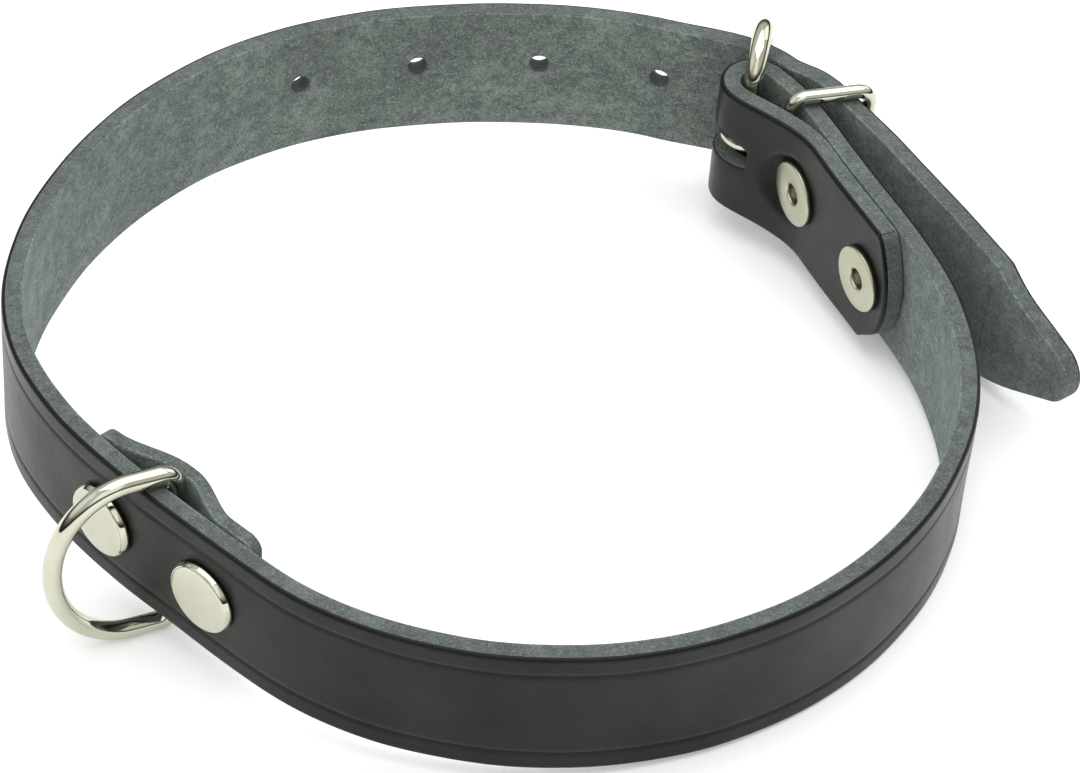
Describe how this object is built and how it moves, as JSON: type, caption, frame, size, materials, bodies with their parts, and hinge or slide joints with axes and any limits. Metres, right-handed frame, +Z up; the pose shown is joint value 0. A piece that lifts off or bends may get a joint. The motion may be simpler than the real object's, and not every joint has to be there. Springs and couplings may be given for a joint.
{
  "type": "dog collar",
  "caption": "Leather dog collar, buckled into a ring, with a folded and riveted buckle end, a wire buckle and keeper, a pointed free end and a swinging D-ring on a riveted patch.",
  "frame": {"origin": "centre of the bounding box in plan, on the surface that the collar lies on", "axes": "+Z up from that surface, +X along the longest side, from the D-ring towards the free end; the D-ring is at -X -Y and the buckle at +X +Y"},
  "size_m": [0.1554, 0.1372, 0.0333],
  "materials": {
    "leather": "satin black grain outside, grey suede inside",
    "suede": "rough grey-green split",
    "nickel": "bright nickel plate"
  },
  "bodies": {
    "collar": {"strap": "leather", "ring_patch": "suede", "buckle_frame": "nickel", "buckle_prong": "nickel", "keeper": "nickel", "flap_rivet_1_cap": "nickel", "flap_rivet_1_post": "nickel", "flap_rivet_2_cap": "nickel", "flap_rivet_2_post": "nickel", "patch_rivet_1_cap": "nickel", "patch_rivet_1_post": "nickel", "patch_rivet_2_cap": "nickel", "patch_rivet_2_post": "nickel"},
    "ring": {"d_ring": "nickel"}
  },
  "joints": [
    {"name": "ring_swing", "type": "hinge", "parent": "collar", "child": "ring", "pos_m": [-0.04832, -0.04127, 0.0173], "axis": [0.0632, -0.0435, 0.997], "range_deg": [-30, 79]}
  ]
}
